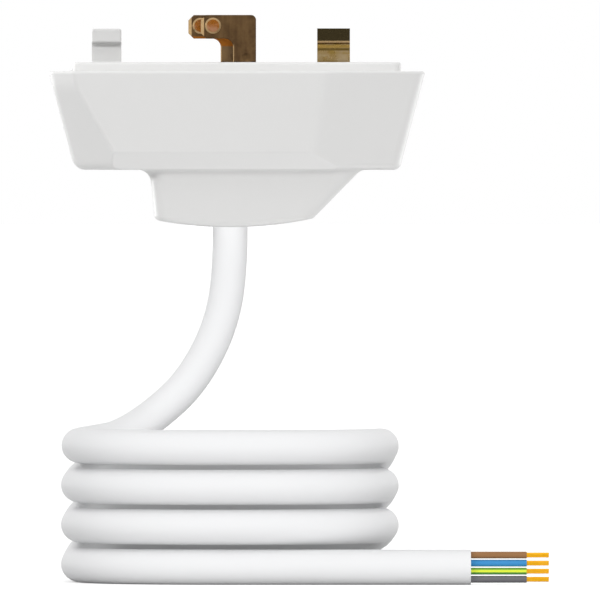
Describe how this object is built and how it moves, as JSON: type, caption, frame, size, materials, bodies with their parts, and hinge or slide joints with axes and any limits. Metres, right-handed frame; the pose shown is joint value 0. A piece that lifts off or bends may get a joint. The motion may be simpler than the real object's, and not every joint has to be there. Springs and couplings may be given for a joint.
{
  "type": "four-pin plug with cord",
  "caption": "White moulded lighting plug with hook and blade contacts on its mating face, and a round cord laid in a neat coil that ends in stripped cores.",
  "frame": {"origin": "centre of the flat rim face that meets the outlet", "axes": "+Z out of the mating face along the contacts, +X along the body towards its tapered end, +Y towards the back"},
  "size_m": [0.0927, 0.0745, 0.1054],
  "materials": {
    "white_moulding": "satin moulded",
    "white_sheath": "smooth extruded",
    "bronze": "dull stamped sheet",
    "contact_copper": "turned and riveted",
    "brass": "tarnished sheet",
    "steel": "zinc plated",
    "copper_strand": "bright stranded",
    "brown_insulation": "smooth extruded",
    "blue_insulation": "smooth extruded",
    "green_yellow_insulation": "striped green and yellow",
    "grey_insulation": "smooth extruded"
  },
  "bodies": {
    "root": {"blue_core_end": "blue_insulation", "blue_core_inner": "blue_insulation", "blue_wire_end": "copper_strand", "blue_wire_inner": "copper_strand", "brown_core_end": "brown_insulation", "brown_core_inner": "brown_insulation", "brown_wire_end": "copper_strand", "brown_wire_inner": "copper_strand", "contact_rivets": "contact_copper", "cord_coil": "white_sheath", "cord_entry": "white_sheath", "cord_grip_bar": "white_moulding", "cord_grip_screws": "steel", "cord_lead": "white_sheath", "cord_tail": "white_sheath", "cover": "white_moulding", "cover_screws": "steel", "earth_hook": "brass", "earth_terminal": "brass", "green_yellow_core_end": "green_yellow_insulation", "green_yellow_core_inner": "green_yellow_insulation", "green_yellow_wire_end": "copper_strand", "green_yellow_wire_inner": "copper_strand", "grey_core_end": "grey_insulation", "grey_core_inner": "grey_insulation", "grey_wire_end": "copper_strand", "grey_wire_inner": "copper_strand", "live_blade": "bronze", "live_terminal": "brass", "neutral_blade": "bronze", "neutral_terminal": "brass", "pin_carrier": "white_moulding", "switched_blade": "bronze", "switched_terminal": "brass", "terminal_screws": "steel"}
  },
  "joints": []
}
